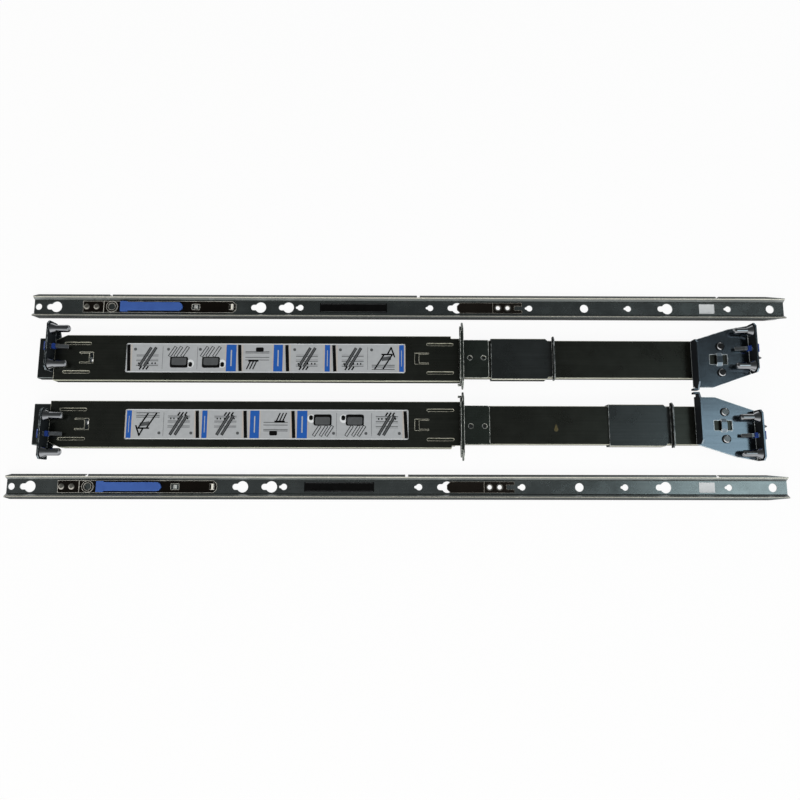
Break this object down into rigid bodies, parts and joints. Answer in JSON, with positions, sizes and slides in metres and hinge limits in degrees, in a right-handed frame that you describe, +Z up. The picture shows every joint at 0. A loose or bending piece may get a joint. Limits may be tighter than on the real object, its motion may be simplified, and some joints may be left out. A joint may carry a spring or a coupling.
{
  "type": "pair of server rails",
  "caption": "Telescoping server rails laid out flat: mirrored outer rails with pinned rack flanges and latches, and the inner rails that bolt to the server.",
  "frame": {"origin": "middle of the whole layout, on the ground that the rails lie on", "axes": "+X from the front of the rack to its rear, +Y from the left rail to the right rail, +Z up, away from the server's side of the rails"},
  "size_m": [0.7028, 0.186, 0.024],
  "materials": {
    "dark_zinc_steel": "dark zinc-plated sheet steel, glossy",
    "zinc_steel": "blue-grey zinc-plated sheet steel",
    "spring_steel": "dark blued spring steel",
    "pin_steel": "bright plated steel",
    "cage_steel": "thin rolled steel strip",
    "blue_plastic": "moulded blue plastic"
  },
  "bodies": {
    "root": {"right_front_section": "dark_zinc_steel", "right_front_bracket": "zinc_steel", "right_front_pins": "pin_steel", "right_front_latch_pin": "pin_steel", "right_cabinet_member": "dark_zinc_steel", "left_front_section": "dark_zinc_steel", "left_front_bracket": "zinc_steel", "left_front_pins": "pin_steel", "left_front_latch_pin": "pin_steel", "left_cabinet_member": "dark_zinc_steel"},
    "right_depth": {"right_rear_extension": "dark_zinc_steel", "right_mid_plate": "zinc_steel", "right_rear_bracket": "zinc_steel", "right_rear_pins": "pin_steel", "right_rear_latch_pin": "pin_steel", "right_rear_screws": "pin_steel", "right_rear_stud": "pin_steel"},
    "right_collar": {"right_collar": "zinc_steel"},
    "right_front_latch": {"right_front_latch": "zinc_steel", "right_front_button": "blue_plastic"},
    "right_rear_latch": {"right_rear_latch": "zinc_steel", "right_rear_button": "blue_plastic"},
    "right_middle": {"right_middle_member": "zinc_steel"},
    "right_outer_cage": {"right_outer_cage": "cage_steel", "right_outer_balls": "pin_steel"},
    "right_inner_cage": {"right_inner_cage": "cage_steel", "right_inner_balls": "pin_steel"},
    "right_inner": {"right_inner_rail": "zinc_steel", "right_strip_root": "spring_steel", "right_lock_leaf_root": "zinc_steel", "right_inner_rivets": "pin_steel"},
    "right_release_arm": {"right_release_arm": "spring_steel"},
    "right_release_tab": {"right_release_tab": "blue_plastic"},
    "right_lock_leaf": {"right_lock_leaf": "zinc_steel"},
    "left_depth": {"left_rear_extension": "dark_zinc_steel", "left_mid_plate": "zinc_steel", "left_rear_bracket": "zinc_steel", "left_rear_pins": "pin_steel", "left_rear_latch_pin": "pin_steel", "left_rear_screws": "pin_steel", "left_rear_stud": "pin_steel"},
    "left_collar": {"left_collar": "zinc_steel"},
    "left_front_latch": {"left_front_latch": "zinc_steel", "left_front_button": "blue_plastic"},
    "left_rear_latch": {"left_rear_latch": "zinc_steel", "left_rear_button": "blue_plastic"},
    "left_middle": {"left_middle_member": "zinc_steel"},
    "left_outer_cage": {"left_outer_cage": "cage_steel", "left_outer_balls": "pin_steel"},
    "left_inner_cage": {"left_inner_cage": "cage_steel", "left_inner_balls": "pin_steel"},
    "left_inner": {"left_inner_rail": "zinc_steel", "left_strip_root": "spring_steel", "left_lock_leaf_root": "zinc_steel", "left_inner_rivets": "pin_steel"},
    "left_release_arm": {"left_release_arm": "spring_steel"},
    "left_release_tab": {"left_release_tab": "blue_plastic"},
    "left_lock_leaf": {"left_lock_leaf": "zinc_steel"}
  },
  "joints": [
    {"name": "right_depth_slide", "type": "slide", "parent": "root", "child": "right_depth", "axis": [1, 0, 0], "range_m": [0, 0.24]},
    {"name": "right_collar_slide", "type": "slide", "parent": "right_depth", "child": "right_collar", "axis": [1, 0, 0], "range_m": [-0.002, 0.123]},
    {"name": "right_front_latch_turn", "type": "hinge", "parent": "root", "child": "right_front_latch", "pos_m": [-0.3172, 0.04133, 0.0116], "axis": [0, 1, 0], "range_deg": [0, 6], "stiffness_Nm_per_rad": 0.05, "springref_deg": -5.73},
    {"name": "right_rear_latch_turn", "type": "hinge", "parent": "right_depth", "child": "right_rear_latch", "pos_m": [0.3137, 0.04133, 0.0116], "axis": [0, -1, 0], "range_deg": [0, 6], "stiffness_Nm_per_rad": 0.05, "springref_deg": -5.73},
    {"name": "right_middle_slide", "type": "slide", "parent": "root", "child": "right_middle", "axis": [-1, 0, 0], "range_m": [0, 0.35]},
    {"name": "right_outer_cage_slide", "type": "slide", "parent": "root", "child": "right_outer_cage", "axis": [-1, 0, 0], "range_m": [0, 0.175]},
    {"name": "right_inner_cage_slide", "type": "slide", "parent": "right_middle", "child": "right_inner_cage", "axis": [1, 0, 0], "range_m": [0, 0.36]},
    {"name": "right_inner_slide", "type": "slide", "parent": "right_middle", "child": "right_inner", "axis": [-1, 0, 0], "range_m": [0, 0.35]},
    {"name": "right_release_arm_lift", "type": "hinge", "parent": "right_inner", "child": "right_release_arm", "pos_m": [-0.27665, 0.082, 0.00145], "axis": [0, -1, 0], "range_deg": [0, 1.25]},
    {"name": "right_release_tab_slide", "type": "slide", "parent": "right_release_arm", "child": "right_release_tab", "axis": [1, 0, 0], "range_m": [0, 0.005], "stiffness_N_per_m": 300, "springref_m": -0.002},
    {"name": "right_lock_leaf_lift", "type": "hinge", "parent": "right_inner", "child": "right_lock_leaf", "pos_m": [0.08135, 0.082, 0.0014], "axis": [0, 1, 0], "range_deg": [0, 6], "stiffness_Nm_per_rad": 0.05, "springref_deg": -5.73},
    {"name": "left_depth_slide", "type": "slide", "parent": "root", "child": "left_depth", "axis": [1, 0, 0], "range_m": [0, 0.24]},
    {"name": "left_collar_slide", "type": "slide", "parent": "left_depth", "child": "left_collar", "axis": [1, 0, 0], "range_m": [-0.105, 0.02]},
    {"name": "left_front_latch_turn", "type": "hinge", "parent": "root", "child": "left_front_latch", "pos_m": [-0.3172, -0.03662, 0.0116], "axis": [0, 1, 0], "range_deg": [0, 6], "stiffness_Nm_per_rad": 0.05, "springref_deg": -5.73},
    {"name": "left_rear_latch_turn", "type": "hinge", "parent": "left_depth", "child": "left_rear_latch", "pos_m": [0.3137, -0.03662, 0.0116], "axis": [0, -1, 0], "range_deg": [0, 6], "stiffness_Nm_per_rad": 0.05, "springref_deg": -5.73},
    {"name": "left_middle_slide", "type": "slide", "parent": "root", "child": "left_middle", "axis": [-1, 0, 0], "range_m": [0, 0.35]},
    {"name": "left_outer_cage_slide", "type": "slide", "parent": "root", "child": "left_outer_cage", "axis": [-1, 0, 0], "range_m": [0, 0.175]},
    {"name": "left_inner_cage_slide", "type": "slide", "parent": "left_middle", "child": "left_inner_cage", "axis": [1, 0, 0], "range_m": [0, 0.36]},
    {"name": "left_inner_slide", "type": "slide", "parent": "left_middle", "child": "left_inner", "axis": [-1, 0, 0], "range_m": [0, 0.35]},
    {"name": "left_release_arm_lift", "type": "hinge", "parent": "left_inner", "child": "left_release_arm", "pos_m": [-0.28735, -0.082, 0.00145], "axis": [0, -1, 0], "range_deg": [0, 1.25]},
    {"name": "left_release_tab_slide", "type": "slide", "parent": "left_release_arm", "child": "left_release_tab", "axis": [1, 0, 0], "range_m": [0, 0.005], "stiffness_N_per_m": 300, "springref_m": -0.002},
    {"name": "left_lock_leaf_lift", "type": "hinge", "parent": "left_inner", "child": "left_lock_leaf", "pos_m": [0.07065, -0.082, 0.0014], "axis": [0, 1, 0], "range_deg": [0, 6], "stiffness_Nm_per_rad": 0.05, "springref_deg": -5.73}
  ],
  "couplings": [
    {"joint": "right_outer_cage_slide", "follows": "right_middle_slide", "ratio": 0.5},
    {"joint": "right_release_arm_lift", "follows": "right_release_tab_slide", "rad_per_m": 4.1888},
    {"joint": "left_outer_cage_slide", "follows": "left_middle_slide", "ratio": 0.5},
    {"joint": "left_release_arm_lift", "follows": "left_release_tab_slide", "rad_per_m": 4.1888}
  ]
}
